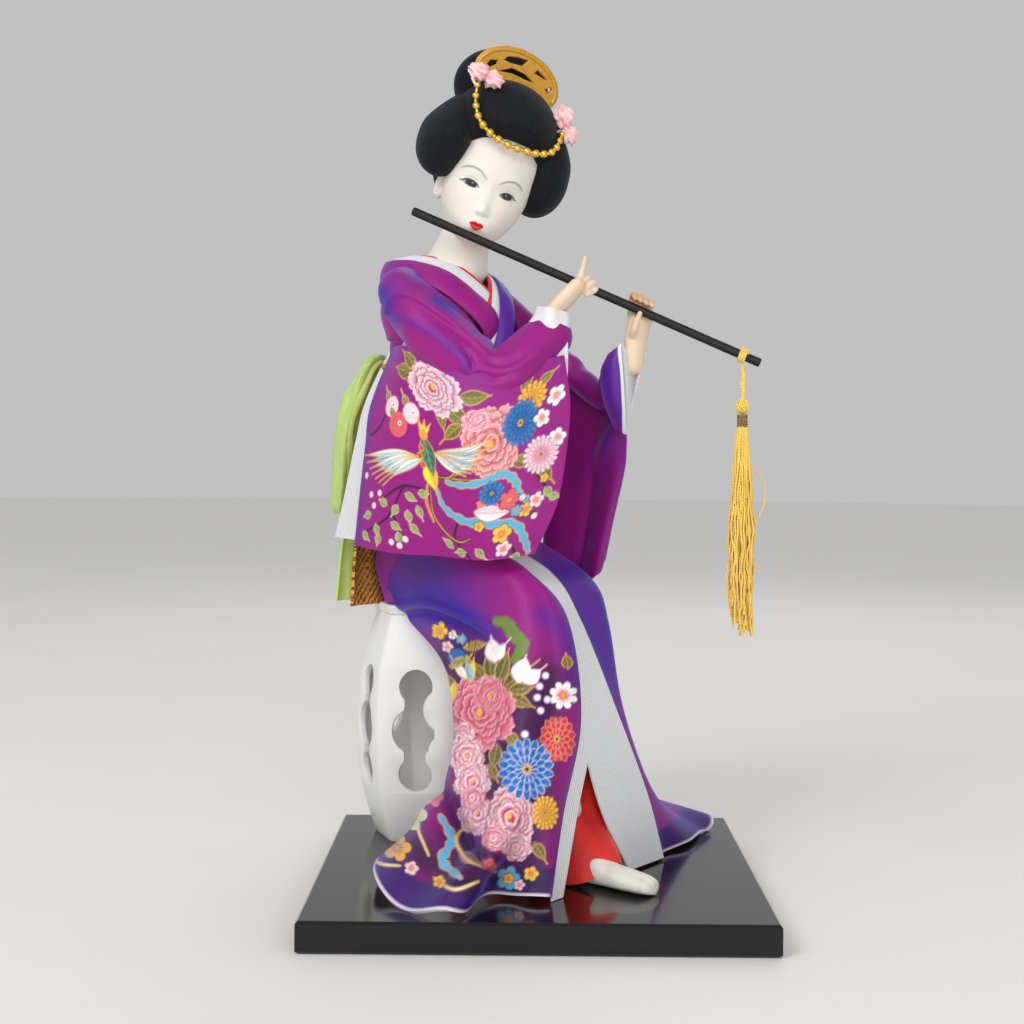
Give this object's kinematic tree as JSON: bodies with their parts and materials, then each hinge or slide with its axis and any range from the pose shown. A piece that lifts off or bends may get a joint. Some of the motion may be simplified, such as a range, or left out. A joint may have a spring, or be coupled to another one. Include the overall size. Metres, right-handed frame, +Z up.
{
  "type": "seated kimono doll",
  "caption": "Seated figurine doll in a printed kimono, playing a flute with a hanging tassel, on a hexagonal barrel stool and a square black board.",
  "frame": {"origin": "centre of the board's underside, on the surface that it stands on", "axes": "+Z up, -Y out of the front edge of the board, +X to the right seen from the front"},
  "size_m": [0.1552, 0.155, 0.2973],
  "materials": {
    "lacquer": "black gloss lacquer",
    "stool_white": "white satin paint",
    "steel": "plain wire and screws",
    "padding": "bound wadding",
    "ivory_skin": "ivory matt paint",
    "hair": "black flocked fibre",
    "gilt": "gilt",
    "pink_cloth": "pale pink cloth petals",
    "purple_silk": "purple shot silk with a flower print",
    "white_silk": "ribbed silver-white silk",
    "red_silk": "bright red silk",
    "lime_satin": "lime satin",
    "brocade": "gold brown brocade",
    "black_wood": "black satin lacquer",
    "yellow_thread": "golden yellow thread"
  },
  "bodies": {
    "figure": {"board": "lacquer", "stool_shell": "stool_white", "stool_top": "stool_white", "stool_floor": "stool_white", "stool_screw_left": "steel", "stool_screw_right": "steel", "spine_wire": "steel", "leg_wire_right": "steel", "leg_wire_left": "steel", "arm_wire_right": "steel", "arm_wire_left": "steel", "torso": "padding", "leg_right": "padding", "leg_left": "padding", "arm_right": "padding", "arm_left": "padding", "hand_right": "ivory_skin", "hand_left": "ivory_skin", "foot_right": "white_silk", "foot_left": "white_silk", "under_collar": "white_silk", "cuff_right": "white_silk", "cuff_left": "white_silk", "inner_sleeve_right": "white_silk", "inner_sleeve_left": "white_silk", "facing_right": "white_silk", "facing_left": "white_silk", "obi_cord": "gilt", "kimono_collar": "purple_silk", "bodice": "purple_silk", "skirt_hips": "purple_silk", "sleeve_right": "purple_silk", "sleeve_left": "purple_silk", "skirt_right": "purple_silk", "skirt_left": "purple_silk", "inner_collar": "red_silk", "underskirt": "red_silk", "bow_knot": "lime_satin", "bow_loop_right": "lime_satin", "bow_loop_left": "lime_satin", "obi": "brocade", "bow_tail_right": "brocade", "bow_tail_left": "brocade"},
    "head": {"head": "ivory_skin", "comb": "gilt", "hair_flower_right": "pink_cloth", "hair_flower_left": "pink_cloth", "hair_front": "hair", "hair_side_right": "hair", "hair_side_left": "hair", "hair_knot": "hair", "hair_back": "hair"},
    "bead_chain": {"bead_chain": "gilt"},
    "flute": {"flute": "black_wood"},
    "tassel_tie": {"tassel_tie": "yellow_thread"},
    "tassel": {"tassel_cord": "yellow_thread", "tassel_knot": "yellow_thread", "tassel_band": "brocade", "tassel_strands": "yellow_thread"}
  },
  "joints": [
    {"name": "head_turn", "type": "hinge", "parent": "figure", "child": "head", "pos_m": [-0.03055, 0.02038, 0.221], "axis": [0.2895, -0.1392, 0.947], "range_deg": [-12, 12]},
    {"name": "chain_swing", "type": "hinge", "parent": "head", "child": "bead_chain", "pos_m": [-0.0229, -0.00932, 0.28072], "axis": [-0.8248, -0.4087, 0.3908], "range_deg": [0, 25]},
    {"name": "flute_slide", "type": "slide", "parent": "figure", "child": "flute", "axis": [0.914, -0.0751, -0.3987], "range_m": [-0.006, 0.02]},
    {"name": "tassel_swing", "type": "hinge", "parent": "flute", "child": "tassel_tie", "pos_m": [0.06938, -0.01092, 0.18807], "axis": [0.914, -0.0751, -0.3987], "range_deg": [-30, 30]},
    {"name": "tassel_sway", "type": "hinge", "parent": "tassel_tie", "child": "tassel", "pos_m": [0.06938, -0.01092, 0.18807], "axis": [0.0819, 0.9966, 0], "range_deg": [-20, 20]}
  ]
}
